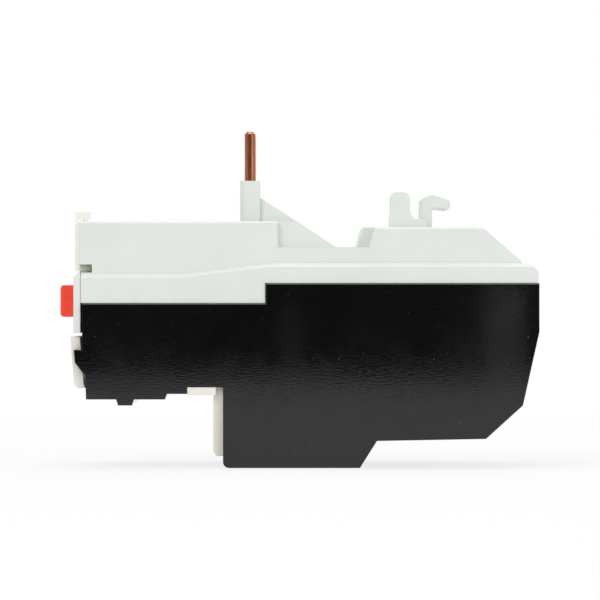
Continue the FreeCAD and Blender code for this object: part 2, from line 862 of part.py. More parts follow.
def hollow_lid(lid):
    """Rooms under the front block, the skirt and the rear block."""
    inner_half = lid_half - S.lid_wall
    ceiling = block_top - S.lid_wall
    front_room = rectangle(lid_front + S.lid_wall, front_joint - 1, S.block_reach - S.lid_wall, ceiling)
    lid.cut("XZ", [front_room], -inner_half, inner_half)
    skirt_inner = skirt_half - S.lid_wall
    skirt_room = rectangle(lid_front + S.lid_wall, front_joint - 1,
                           bulkhead_front, front_ledge - S.lid_wall)
    lid.cut("XZ", [skirt_room], -skirt_inner, skirt_inner)
    roof = deck - S.lid_wall
    rear_room = polygon(
        (bulkhead_front - 1, rear_joint - 1),
        (bulkhead_front - 1, roof),
        (deck_rear + 1, roof),
        (rear_top_start + 1, rear_top - S.lid_wall),
        (rear_top_end - 0.6, rear_top - S.lid_wall),
        (rear_slope_end - 1, rear_ledge - S.lid_wall),
        (chamber_rear, rear_ledge - S.lid_wall - S.rear_brow),
        (chamber_rear, rear_joint - 1),
    )
    half = chamber_width / 2
    near, middle, far = phases.values()
    for low, high in ((-inner_half, near + half), (middle - half, middle + half), (far - half, inner_half)):
        lid.cut("XZ", [rear_room], low, high)


def add_bosses(lid):
    """Bosses that carry the pins below the front block, and their bores."""
    half = S.sheath_width / 2
    boxes = [rectangle(-S.sheath_front, y - half, S.sheath_rear, y + half) for y in phases.values()]
    boss_bottom = block_top - S.lid_wall - S.boss_depth
    lid.pad("XY", boxes, boss_bottom, block_top - S.lid_wall + 0.2)
    bores = [square(0, y, S.collar_side + S.running_fit * 2) for y in phases.values()]
    lid.cut("XY", bores, boss_bottom - 1, S.sheath_rear)


def cut_lid_openings(lid):
    """Ways through the front wall for the dial, the test button and the two buttons."""
    wall = (lid_front - 1, lid_front + S.lid_wall + 1)
    lid.cut("YZ", [disc(S.dial_offset, dial_level, S.dial_radius + S.running_fit)], *wall)
    lid.cut("YZ", [disc(-S.test_offset, test_level, S.test_radius + S.running_fit)], *wall)
    lid.cut("YZ", [button_notch(side) for side in (-1, 1)], *wall)


def add_hinge_pillar(lid):
    """A solid corner behind the clear cover's hinge, bored for its two pivots."""
    inner = lid_half - S.lid_wall
    pillar = rectangle(lid_front + S.lid_wall - 0.5, -inner - 0.5, hinge_x + 2.2, hinge_y + 2.4)
    lid.pad("XY", [pillar], front_joint + 1, block_top - S.lid_wall + 0.5)
    bore = disc(hinge_x, hinge_y, S.pivot_radius + S.running_fit)
    lid.cut("XY", [bore], block_top - S.pivot_length - 0.7, block_top + 1)
    notch = rectangle(lid_front - 1, hinge_y - 2, hinge_x + S.knuckle_radius + S.moving_gap, hinge_y + 2.2)
    lid.cut("XY", [notch], cover_bottom - S.moving_gap, lower_arm_top + S.moving_gap)
    lid.cut("XY", [bore], cover_bottom - S.pivot_length - 0.3, cover_bottom)


def add_slide_rails(lid):
    """Two hanging rails whose feet carry the adjusting slide."""
    ceiling = block_top - S.lid_wall
    foot_top = slide_bottom - 0.2
    foot_bottom = foot_top - S.rail_thick
    front_rail = polygon(
        (slide_front - 0.2, ceiling + 0.5),
        (slide_front - 0.2 - S.rail_thick, ceiling + 0.5),
        (slide_front - 0.2 - S.rail_thick, foot_bottom),
        (slide_front + 1, foot_bottom),
        (slide_front + 1, foot_top),
        (slide_front - 0.2, foot_top),
    )
    lid.pad("XZ", [front_rail], -4 * S.rail_thick, 0.8 * S.rail_thick)
    rear_rail = polygon(
        (0.2 - S.slide_rear, ceiling + 0.5),
        (0.2 - S.slide_rear + S.rail_thick, ceiling + 0.5),
        (0.2 - S.slide_rear + S.rail_thick, foot_bottom),
        (-S.slide_rear - 0.9, foot_bottom),
        (-S.slide_rear - 0.9, foot_top),
        (0.2 - S.slide_rear, foot_top),
    )
    lid.pad("XZ", [rear_rail], -S.slide_near, S.slide_far)


def add_post_and_hooks(lid):
    """The round-headed post and the two hooks that grip the contactor."""
    post_end = S.post_start + S.post_length
    post = polygon(
        (S.post_start - S.post_flare, rear_top - 0.5),
        (S.post_start, rear_top + S.post_height / 2),
        (S.post_start, rear_top + S.post_height),
        (post_end, rear_top + S.post_height),
        (post_end, rear_top + S.post_height / 2),
        (post_end + S.post_flare, rear_top + S.web_height + S.web_run),
        (post_end + S.post_flare + S.web_run, rear_top + S.web_height),
        (S.hook_start + 0.5, rear_top + S.web_height),
        (S.hook_start + 0.5, rear_top - 0.5),
    )
    post_y = -S.post_offset
    lid.pad("XZ", [post], post_y - S.post_thick / 2, post_y + S.post_thick / 2)
    lid.fillet(S.post_round, "y", z=at(rear_top + S.post_height))
    stem_end = S.hook_start + S.hook_stem
    hook_top = rear_top + S.hook_height
    hook = polygon(
        (S.hook_start, rear_top - 0.5),
        (S.hook_start, hook_top - S.hook_slant),
        (stem_end - 0.3, hook_top),
        (stem_end + 0.3, hook_top),
        (stem_end + S.hook_reach, hook_top - S.hook_slant - 0.3),
        (stem_end + S.hook_reach, hook_top - S.hook_beak),
        (stem_end + S.hook_reach - 0.4, hook_top - S.hook_beak - 0.4),
        (stem_end, hook_top - S.hook_beak),
        (stem_end, rear_top - 0.5),
    )
    for side in (-1, 1):
        middle = phase_pitch / 2 * side
        lid.pad("XZ", [hook], middle - S.hook_thick / 2, middle + S.hook_thick / 2)


def front_panel():
    """Pale face plate that frames the STOP and RESET buttons."""
    panel = Piece("front_panel")
    front = panel_front
    rear = panel_front + S.panel_thick
    half = skirt_half - 0.2
    panel.pad("YZ", [rectangle(-half, panel_top - S.panel_height, half, panel_top)], front, rear)
    panel.chamfer(S.panel_bevel, "y", x=at(front), z=at(panel_top))
    window = rectangle(stop_y - S.button_width / 2 - 0.1, button_level - S.button_height / 2 - 0.1,
                       stop_y + S.button_width / 2 + 0.1, button_level + S.button_height / 2 + 0.1)
    round_way = disc(reset_y, button_level, S.reset_radius + S.running_fit)
    panel.cut("YZ", [window, round_way], front - 1, rear + 1)
    return panel


def aux_terminal_cover():
    """Cream sloping cover over the four auxiliary terminals, with driver holes."""
    cover = Piece("aux_terminal_cover")
    top = aux_ceiling + 0.5
    foot = top - S.aux_cover_height
    front = base_front - S.aux_cover_proud - 0.3
    outline = polygon(
        (front, top),
        (front + S.aux_cover_thick, top),
        (front + S.aux_cover_thick + S.aux_cover_tilt, foot),
        (aux_cell_front - 0.2, foot - 0.6),
        (front + S.aux_cover_tilt + 0.8, foot - 0.7),
        (front + S.aux_cover_tilt, foot),
    )
    half = cheek_inner - S.cover_fit
    cover.pad("XZ", [outline], -half, half)
    holes = [disc(y, aux_axis, S.driver_radius) for y in aux_places.values()]
    cover.cut("YZ", holes, front - 1, aux_cell_front + 1)
    return cover


def power_terminal_cover():
    """Cream angled cover in front of the power terminals, with driver holes."""
    cover = Piece("power_terminal_cover")
    top = belly - 0.15
    front = cell_front - S.power_cover_arm
    inner = cell_front + 0.3
    roof = rectangle(-S.belly_front, top - S.power_cover_thick, front + 0.5, top)
    wide = base_half - S.cover_fit
    cover.pad("XZ", [roof], -wide, wide)
    apron = polygon(
        (front, top),
        (cell_front - 0.2, top),
        (inner, top - 0.3),
        (inner, top - S.power_cover_height),
        (front + 0.6, top - S.power_cover_height),
        (front, top - S.power_cover_height + 1),
    )
    half = cheek_inner - S.cover_fit
    cover.pad("XZ", [apron], -half, half)
    holes = [disc(y, power_axis, S.driver_radius) for y in phases.values()]
    cover.cut("YZ", holes, front - 1, inner + 1)
    return cover


def clear_cover():
    """Transparent sealable cover over the dial, swinging on two pivots at its near end."""
    cover = Piece("clear_cover")
    rear = lid_front - S.cover_gap
    front = rear - S.cover_thick
    top = block_top + S.cover_rise
    near = hinge_y + 1.6
    cover.pad("YZ", [rectangle(near, cover_bottom, S.cover_reach, top)], front, rear)
    tab = rectangle(S.cover_reach - 6, test_level - 1.5, S.cover_reach + 1.5, test_level + 3)
    cover.pad("YZ", [tab], front - S.pull_tab / 2, front + 0.3)
    arm = polygon((front, near), (rear, near + 0.4), (hinge_x + 0.5, hinge_y + 0.9),
                  (hinge_x - 0.7, hinge_y - 0.8))
    knuckle = disc(hinge_x, hinge_y, S.knuckle_radius)
    upper_bottom = block_top + 0.4
    spans = ((upper_bottom, upper_bottom + S.arm_thick), (cover_bottom, lower_arm_top))
    for low, high in spans:
        cover.pad("XY", [arm], low, high)
        cover.pad("XY", [knuckle], low, high)
        cover.pad("XY", [disc(hinge_x, hinge_y, S.pivot_radius)], low - S.pivot_length, low + 0.5)
    return cover


def setting_dial():
    """Setting dial: face, retaining flange and the spiral cam behind it."""
    flange_start = lid_front + S.lid_wall + 0.1
    face = turned(lid_front, flange_start, S.dial_radius)
    flange = turned(flange_start, cam_front, S.dial_radius + S.dial_flange)
    length = S.dial_slot_length.value
    width = S.dial_slot_width.value
    corner = V(lid_front.value, S.dial_offset.value - length / 2, dial_level.value - width / 2)
    slot = Part.makeBox(S.dial_slot_depth.value, length, width, corner)
    solid = face.fuse([flange, spiral_cam()]).cut(slot).removeSplitter()
    dial = doc.addObject("Part::Feature", "setting_dial")
    dial.Label = "setting_dial"
    dial.Shape = solid
    dial.Placement = FreeCAD.Placement()
    Piece.made.append(dial)
    return dial


def turned(low, high, radius):
    """A disc of the dial, between two stations along X."""
    centre = V(low.value, S.dial_offset.value, dial_level.value)
    return Part.makeCylinder(radius.value, high.value - low.value, centre, V(1, 0, 0))


def spiral_cam():
    """A spiral of three quarter turns, each wider than the last, closed by a straight flank."""
    quarters = 3
    ends = [cam_point(step, quarters) for step in range(quarters + 1)]
    arcs = [Part.Arc(ends[step], cam_point(step + 0.5, quarters), ends[step + 1]) for step in range(quarters)]
    flank = Part.LineSegment(ends[-1], ends[0])
    face = Part.Face(Part.Wire([curve.toShape() for curve in arcs + [flank]]))
    return face.extrude(V(S.cam_thick.value, 0, 0))


def cam_point(step, quarters):
    """A point of the cam's edge, that many quarter turns from its lowest."""
    angle = -math.radians(90) * step
    radius = S.cam_start.value + S.cam_rise.value * step / quarters
    across = S.dial_offset.value + radius * math.cos(angle)
    up = dial_level.value + radius * math.sin(angle)
    return V(cam_front.value, across, up)


def adjusting_slide():
    """Slide that the dial's cam shifts sideways; it carries the trip lever's pivot."""
    slide = Piece("adjusting_slide")
    plate = rectangle(slide_front, -S.slide_near, -S.slide_rear, S.slide_far)
    slide.pad("XY", [plate], slide_bottom, slide_top)
    finger_near = S.dial_offset + S.cam_start + S.moving_gap - 0.05
    finger = rectangle(cam_front + 0.2, finger_near, slide_front + 0.8, finger_near + S.finger_thick)
    slide.pad("XY", [finger], dial_level - 1.6, slide_top)
    pivot = (-S.lever_pivot_x, S.lever_pivot_y)
    slide.pad("XY", [disc(*pivot, S.lever_boss_radius - 0.1)], lever_top + S.moving_gap, slide_bottom + 0.2)
    slide.pad("XY", [disc(*pivot, S.lever_pin_radius)], lever_bottom - 0.4, lever_top + 0.5)
    window = rectangle(slide_front + 3, -S.slide_near + 2.5, -S.lever_pivot_x - 4, S.slide_far - 3)
    slide.cut("XY", [window], slide_bottom - 1, slide_top + 1)
    return slide


def trip_lever():
    """Bell-crank lever: one arm is pushed by the trip bar, the other shifts the contacts."""
    lever = Piece("trip_lever")
    x = -S.lever_pivot_x
    y = S.lever_pivot_y
    bar = S.lever_bar / 2
    outline = polygon(
        (x - bar, y - S.lever_finger - bar),
        (x + bar, y - S.lever_finger - bar),
        (x + bar, y - bar),
        (x + S.lever_arm, y - bar),
        (x + S.lever_arm, y + bar),
        (x - bar, y + bar),
    )
    lever.pad("XY", [outline], lever_bottom, lever_top)
    lever.pad("XY", [disc(x, y, S.lever_boss_radius)], lever_bottom, lever_top)
    tail = rectangle(x + S.lever_arm - 1.8, y - bar, x + S.lever_arm, y + bar)
    lever.pad("XY", [tail], trip_bar_bottom - 0.2, lever_bottom + 0.4)
    lever.cut("XY", [disc(x, y, S.lever_pin_radius + S.running_fit)], lever_bottom - 1, lever_top + 1)
    return lever


def trip_bar():
    """Comb bar over the bimetals' tips, with a nose that reaches the trip lever."""
    bar = Piece("trip_bar")
    spine = rectangle(bar_front, bar_near, chamber_front + S.bar_slot - S.moving_gap, bar_far)
    bar.pad("XY", [spine], trip_bar_bottom, trip_bar_top)
    reach = S.bimetal_thick / 2 + S.moving_gap
    teeth = [rectangle(comb_front, y + reach, comb_rear, y + reach + S.comb_tooth) for y in phases.values()]
    bar.pad("XY", teeth, bimetal_level - S.bimetal_height / 2 - 0.3, trip_bar_bottom + 0.2)
    nose = rectangle(S.lever_arm - S.lever_pivot_x - 0.8, nose_near, bar_front + 1, nose_near + S.nose_width)
    bar.pad("XY", [nose], trip_bar_bottom, trip_bar_top)
    return bar


def return_bar():
    """Comb bar under the bimetals' tips, on their other side."""
    bar = Piece("return_bar")
    low = bar_floor + S.moving_gap
    top = low + S.bar_height
    bar.pad("XY", [rectangle(comb_front, bar_near, comb_rear, bar_far)], low, top)
    reach = S.bimetal_thick / 2 + S.moving_gap
    teeth = [rectangle(comb_front, y - reach - S.comb_tooth, comb_rear, y - reach) for y in phases.values()]
    bar.pad("XY", teeth, top - 0.2, bimetal_level + S.bimetal_height / 2 + 0.3)
    return bar


def contact_carrier():
    """Insulating carrier that slides on two shelves with both contact bridges."""
    carrier = Piece("contact_carrier")
    low = bay_floor + S.shelf_depth + 0.2
    half = room_half - S.moving_gap
    top = contact_level + 1.6
    carrier.pad("XZ", [rectangle(carrier_front, low, carrier_rear, top)], -half, half)
    foot = rectangle(carrier_front - 1, low, carrier_front - 1 + S.carrier_foot, low + 1.8)
    for side_low, side_high in ((-half, 1.4 - half), (half - 1.4, half)):
        carrier.pad("XZ", [foot], side_low, side_high)
    post_far = S.lever_pivot_y - S.lever_finger + S.post_breadth / 2 + 0.5
    post = rectangle(carrier_front, top - 0.5, carrier_front + 1.8, lever_top)
    carrier.pad("XZ", [post], post_far - S.post_breadth, post_far)
    return carrier


def contact_bridge(label, near, far, front, tip_side):
    """Metal bridge with a contact tip at each end, facing -X or +X."""
    bridge = Piece(label)
    rear = front + S.bridge_thick
    low = contact_level - S.bridge_height / 2
    high = contact_level + S.bridge_height / 2
    plate = rectangle(near - 1.6, low, far + 1.6, high)
    bridge.pad("YZ", [plate], front, rear)
    tips = [square(place, contact_level, S.contact_side) for place in (near, far)]
    if tip_side < 0:
        bridge.pad("YZ", tips, front - S.bridge_contact_thick, front + 0.2)
    else:
        bridge.pad("YZ", tips, rear - 0.2, rear + S.bridge_contact_thick)
    return bridge


def stop_button():
    """Red STOP button with its retaining flange and push rod."""
    button = Piece("stop_button")
    front = panel_front - S.button_proud
    half_width = S.button_width / 2
    half_height = S.button_height / 2
    cap = rectangle(stop_y - half_width, button_level - half_height,
                    stop_y + half_width, button_level + half_height)
    button.pad("YZ", [cap], front, flange_front)
    button.fillet(S.button_round, "-x", x=at(front))
    lip = S.flange_lip
    skirt = rectangle(stop_y - half_width - lip, button_level - half_height - lip,
                      stop_y + half_width + lip, button_level + half_height + lip)
    button.pad("YZ", [skirt], flange_front, flange_front + S.flange_thick)
    rod_end = bridge_front - S.moving_gap - S.button_travel
    button.pad("YZ", [square(stop_y, button_level, S.rod_side)], flange_front, rod_end)
    return button


def reset_plunger():
    """Plunger behind the RESET knob, with the spigot that the knob turns on."""
    plunger = Piece("reset_plunger")
    flange = flange_front + 0.2
    radius = S.reset_radius + S.flange_lip
    plunger.pad("YZ", [disc(reset_y, button_level, radius)], flange, flange + S.flange_thick)
    spigot = disc(reset_y, button_level, S.spigot_radius)
    plunger.pad("YZ", [spigot], flange - S.spigot_length, flange + 0.2)
    rod_end = carrier_front - S.moving_gap - S.button_travel
    plunger.pad("YZ", [square(reset_y, button_level, S.rod_side)], flange, rod_end)
    return plunger


def reset_knob():
    """Blue RESET knob: pressed to reset, turned a quarter between hand and automatic."""
    knob = Piece("reset_knob")
    front = panel_front - S.button_proud
    knob.pad("YZ", [disc(reset_y, button_level, S.reset_radius)], front, flange_front)
    knob.chamfer(S.knob_bevel, None, x=at(front))
    bore = disc(reset_y, button_level, S.spigot_radius + S.running_fit)
    knob.cut("YZ", [bore], flange_front - S.spigot_length - 0.2, flange_front + 1)
    slot = rectangle(reset_y - 2, button_level - 0.45, reset_y + 2, button_level + 0.45)
    knob.cut("YZ", [slot], front - 1, front + 0.8)
    return knob


def test_button():
    """Small TEST button under the clear cover, whose rod reaches the trip lever."""
    button = Piece("test_button")
    place = (-S.test_offset, test_level)
    shoulder = lid_front + S.lid_wall + 0.2
    button.pad("YZ", [disc(*place, S.test_radius)], lid_front, shoulder)
    button.pad("YZ", [disc(*place, S.test_radius + 0.6)], shoulder, shoulder + S.flange_thick)
    rod_end = -S.lever_pivot_x - S.lever_bar / 2 - 0.2 - S.test_travel
    button.pad("YZ", [square(*place, S.test_rod_side)], shoulder, rod_end)
    return button


def line_pin(number_of_phase):
    """Round copper pin, its square collar in the sheath, and the strip to the bimetal's root."""
    pin = Piece("line_pin_%d" % number_of_phase)
    half = S.strip_width / 2
    strip_top = deck - S.lid_wall - 0.7
    strip_bottom = strip_top - S.strip_thick
    strip_rear = bimetal_rear + S.moving_gap + S.strip_thick
    bent = polygon(
        (-S.pin_radius, strip_bottom),
        (strip_rear - S.strip_thick, strip_bottom),
        (strip_rear - S.strip_thick, bimetal_level - S.bimetal_height / 2),
        (strip_rear, bimetal_level - S.bimetal_height / 2),
        (strip_rear, strip_top),
        (-S.pin_radius, strip_top),
    )
    pin.pad("XZ", [bent], -half, half)
    pin.pad("XY", [square(0, 0, S.collar_side)], strip_bottom, SHEATH_TOP)
    pin.pad("XY", [disc(0, 0, S.pin_radius)], -S.pin_tip, S.pin_length)
    pin.chamfer(S.pin_tip, None, z=at(S.pin_length))
    pin.shift(y=phases[number_of_phase])
    return pin


def bimetal(phase):
    """Flat bimetal strip, fixed at the rear and free at the trip bars."""
    strip = Piece("bimetal_%d" % phase)
    half_thick = S.bimetal_thick / 2
    half_height = S.bimetal_height / 2
    side = rectangle(bimetal_front, bimetal_level - half_height, bimetal_rear, bimetal_level + half_height)
    strip.pad("XZ", [side], -half_thick, half_thick)
    strip.shift(y=phases[phase])
    return strip


def heater_winding(phase):
    """Ribbed heater winding wrapped round the bimetal."""
    winding = Piece("heater_winding_%d" % phase)
    gap = S.running_fit
    half_thick = S.bimetal_thick / 2 + gap
    half_height = S.bimetal_height / 2 + gap
    rear = bimetal_rear - S.heater_setback
    front = rear - S.heater_length
    passage = rectangle(-half_thick, bimetal_level - half_height, half_thick, bimetal_level + half_height)
    thick = half_thick + S.heater_wall
    height = half_height + S.heater_wall
    sleeve = rectangle(-thick, bimetal_level - height, thick, bimetal_level + height)
    winding.pad("YZ", [sleeve, passage], front, rear)
    rise = S.coil_rise
    turn = rectangle(-thick - rise, bimetal_level - height - rise, thick + rise, bimetal_level + height + rise)
    first = winding.pad("YZ", [turn, passage], front, front + S.coil_width)
    winding.repeat(first, S.heater_length - S.coil_width, 11)
    winding.shift(y=phases[phase])
    return winding


def load_terminal(phase):
    """Bent strip from the heater's front end down to the clamping plate in the cell."""
    terminal = Piece("load_terminal_%d" % phase)
    half = S.strip_width / 2
    plate_half = S.power_plate_width / 2
    foot = power_axis - S.power_washer / 2 - 0.5
    plate = rectangle(-plate_half, foot, plate_half, load_strip_top + 0.5)
    terminal.pad("YZ", [plate], plate_front, plate_rear)
    riser_rear = plate_front + S.load_run + S.strip_thick
    strip = polygon(
        (plate_front + 0.2, load_strip_bottom),
        (riser_rear, load_strip_bottom),
        (riser_rear, bimetal_level - S.bimetal_height / 2 - 1.8),
        (riser_rear - S.strip_thick, bimetal_level - S.bimetal_height / 2 - 1.8),
        (riser_rear - S.strip_thick, load_strip_top),
        (plate_front + 0.2, load_strip_top),
    )
    terminal.pad("XZ", [strip], -half, half)
    bore = disc(0, power_axis, S.power_shank_radius + S.running_fit)
    terminal.cut("YZ", [bore], plate_front - 1, plate_rear + 1)
    terminal.shift(y=phases[phase])
    return terminal


def terminal_screw(label, place, axis_level, seat, head, head_thick, shank, tip):
    """Screw along X with a cross recess in its head, which seats on the washer's outer face."""
    screw = Piece(label)
    screw.pad("YZ", [disc(0, axis_level, head)], seat - head_thick, seat)
    screw.pad("YZ", [disc(0, axis_level, shank)], seat - 0.2, tip)
    reach = head * 0.7
    half = S.slot_width / 2
    for wide, tall in ((reach, half), (half, reach)):
        recess = rectangle(-wide, axis_level - tall, wide, axis_level + tall)
        screw.cut("YZ", [recess], seat - head_thick - 1, seat - head_thick + S.slot_depth)
    screw.shift(y=place)
    return screw


def clamp_washer(label, place, axis_level, seat, side, thick, bore):
    """Square captive washer under the screw's head."""
    washer = Piece(label)
    half = side / 2
    plate = rectangle(-half, axis_level - half, half, axis_level + half)
    washer.pad("YZ", [plate, disc(0, axis_level, bore)], seat, seat + thick)
    washer.chamfer(thick * 0.4, "y", x=at(seat))
    washer.shift(y=place)
    return washer


def power_fixings(phase):
    """Screw and washer of one power terminal."""
    place = phases[phase]
    seat = plate_front - S.moving_gap - S.washer_thick
    shank = S.power_shank_radius
    terminal_screw("power_screw_%d" % phase, place, power_axis, seat, S.power_head_radius,
                   S.power_head_thick, shank, plate_rear + 3.2)
    clamp_washer("power_clamp_%d" % phase, place, power_axis, seat, S.power_washer,
                 S.washer_thick, shank + 0.1)


def aux_terminal(place):
    """Bent strip from the clamping plate to a fixed contact, by the closed or open pair."""
    terminal = Piece("aux_terminal_%d" % place)
    plate_half = S.aux_plate_width / 2
    half = S.aux_strip_width / 2
    foot = aux_axis - S.aux_washer / 2
    plate = rectangle(-plate_half, foot, plate_half, aux_strip_top)
    terminal.pad("YZ", [plate], aux_plate_front, aux_plate_rear)
    if place <= 2:
        leg_rear = bridge_front - S.bridge_contact_thick - S.moving_gap - S.contact_thick
        leg_front = leg_rear - S.aux_strip_thick
        tip = (leg_rear - 0.2, leg_rear + S.contact_thick)
    else:
        opening = S.carrier_travel + S.moving_gap
        leg_front = open_bridge_front + S.bridge_thick + S.bridge_contact_thick + opening + S.contact_thick
        leg_rear = leg_front + S.aux_strip_thick
        tip = (leg_front - S.contact_thick, leg_front + 0.2)
    strip = polygon(
        (aux_plate_front + 0.2, aux_strip_bottom),
        (leg_rear, aux_strip_bottom),
        (leg_rear, contact_level + 1.8),
        (leg_front, contact_level + 1.8),
        (leg_front, aux_strip_top),
        (aux_plate_front + 0.2, aux_strip_top),
    )
    terminal.pad("XZ", [strip], -half, half)
    terminal.pad("YZ", [square(0, contact_level, S.contact_side)], *tip)
    bore = disc(0, aux_axis, S.aux_shank_radius + S.running_fit)
    terminal.cut("YZ", [bore], aux_plate_front - 1, aux_plate_rear + 1)
    terminal.shift(y=aux_places[place])
    return terminal


def aux_fixings(place):
    """Screw and washer of one auxiliary terminal."""
    seat = aux_plate_front - S.moving_gap - S.aux_washer_thick
    shank = S.aux_shank_radius
    terminal_screw("aux_screw_%d" % place, aux_places[place], aux_axis, seat, S.aux_head_radius,
                   S.aux_head_thick, shank, aux_plate_rear + 3)
    clamp_washer("aux_clamp_%d" % place, aux_places[place], aux_axis, seat, S.aux_washer,
                 S.aux_washer_thick, shank + 0.1)


def check(pieces):
    """Stop if a feature failed, cut nothing, or left a piece without a sound solid."""
    for item in doc.Objects:
        if "Invalid" in item.State or "Error" in item.State:
            raise RuntimeError("failed feature " + item.Label)
        if item.TypeId == "PartDesign::Pocket":
            if item.Shape.Volume > item.BaseFeature.Shape.Volume - 1e-6:
                raise RuntimeError("pocket cuts nothing: " + item.Label)
    for piece in pieces:
        if piece.Shape.isNull() or not piece.Shape.isValid():
            raise RuntimeError("bad shape on " + piece.Label)
        if len(piece.Shape.Solids) != 1:
            raise RuntimeError("%s has %d solids" % (piece.Label, len(piece.Shape.Solids)))


def build():
    """Make every sub-part, then write one STEP file for each."""
    base_shell()
    top_housing()
    front_panel()
    aux_terminal_cover()
    power_terminal_cover()
    clear_cover()
    setting_dial()
    adjusting_slide()
    trip_lever()
    trip_bar()
    return_bar()
    contact_carrier()
    places = list(aux_places.values())
    contact_bridge("closed_bridge", places[0], places[1], bridge_front, -1)
    contact_bridge("open_bridge", places[2], places[3], open_bridge_front, 1)
    stop_button()
    reset_plunger()
    reset_knob()
    test_button()
    for phase in phases:
        line_pin(phase)
        bimetal(phase)
        heater_winding(phase)
        load_terminal(phase)
        power_fixings(phase)
    for place in aux_places:
        aux_terminal(place)
        aux_fixings(place)
    doc.recompute()
    check(Piece.made)
    os.makedirs("parts", exist_ok=True)
    for piece in Piece.made:
        piece.Shape.exportStep("parts/%s.step" % piece.Label)
    print("wrote %d sub-parts" % len(Piece.made))


build()
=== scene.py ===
"""The looks of the thermal overload relay: finishes, the scale round the setting dial,
a plain pale studio and the camera. Lengths are in metres, in the frame of the CAD model."""
import bmesh
import bpy
import json
import math
from mathutils import Matrix, Vector


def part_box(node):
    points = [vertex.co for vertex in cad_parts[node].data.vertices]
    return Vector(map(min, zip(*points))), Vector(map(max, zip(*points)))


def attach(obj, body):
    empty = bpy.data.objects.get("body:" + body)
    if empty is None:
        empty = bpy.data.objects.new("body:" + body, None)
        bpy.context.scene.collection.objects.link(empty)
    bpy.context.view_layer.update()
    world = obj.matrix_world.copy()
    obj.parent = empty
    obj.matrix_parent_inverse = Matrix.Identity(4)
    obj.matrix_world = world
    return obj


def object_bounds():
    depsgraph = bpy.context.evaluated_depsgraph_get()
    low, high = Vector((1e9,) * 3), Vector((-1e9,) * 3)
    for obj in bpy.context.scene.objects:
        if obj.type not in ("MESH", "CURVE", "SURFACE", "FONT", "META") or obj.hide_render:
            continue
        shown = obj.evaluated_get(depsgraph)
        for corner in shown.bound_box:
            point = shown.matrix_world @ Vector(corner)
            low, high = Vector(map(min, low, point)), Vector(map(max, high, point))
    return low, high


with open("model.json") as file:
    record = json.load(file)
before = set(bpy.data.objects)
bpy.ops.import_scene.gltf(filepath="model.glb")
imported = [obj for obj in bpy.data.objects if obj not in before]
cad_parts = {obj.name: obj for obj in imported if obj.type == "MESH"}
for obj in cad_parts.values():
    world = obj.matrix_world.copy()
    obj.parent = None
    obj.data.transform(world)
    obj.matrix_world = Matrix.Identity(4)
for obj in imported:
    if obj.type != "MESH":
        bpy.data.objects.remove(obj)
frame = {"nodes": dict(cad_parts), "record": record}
cad_low, cad_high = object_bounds()
NODES = frame["nodes"]
RECORD = frame["record"]
MM = 0.001


# ---------------------------------------------------------------- colours and nodes

# Most of a noise's values lie between these two.
NOISE_RANGE = (0.3, 0.7)
BEVEL_SAMPLES = 6
# The places of the colour sockets on a Mix node.
MIX_SHARE, MIX_FIRST, MIX_SECOND, MIX_RESULT = 0, 6, 7, 2


def tone(red, green, blue):
    """A colour as it looks on a screen, 0 to 255, turned into the linear values of a shader."""
    def linear(level):
        level = level / 255
        return level / 12.92 if level <= 0.04045 else ((level + 0.055) / 1.055) ** 2.4
    return (linear(red), linear(green), linear(blue), 1.0)


def scaled(colour, share):
    """The colour made darker or paler by a share."""
    return tuple(min(1.0, part * share) for part in colour[:3]) + (1.0,)


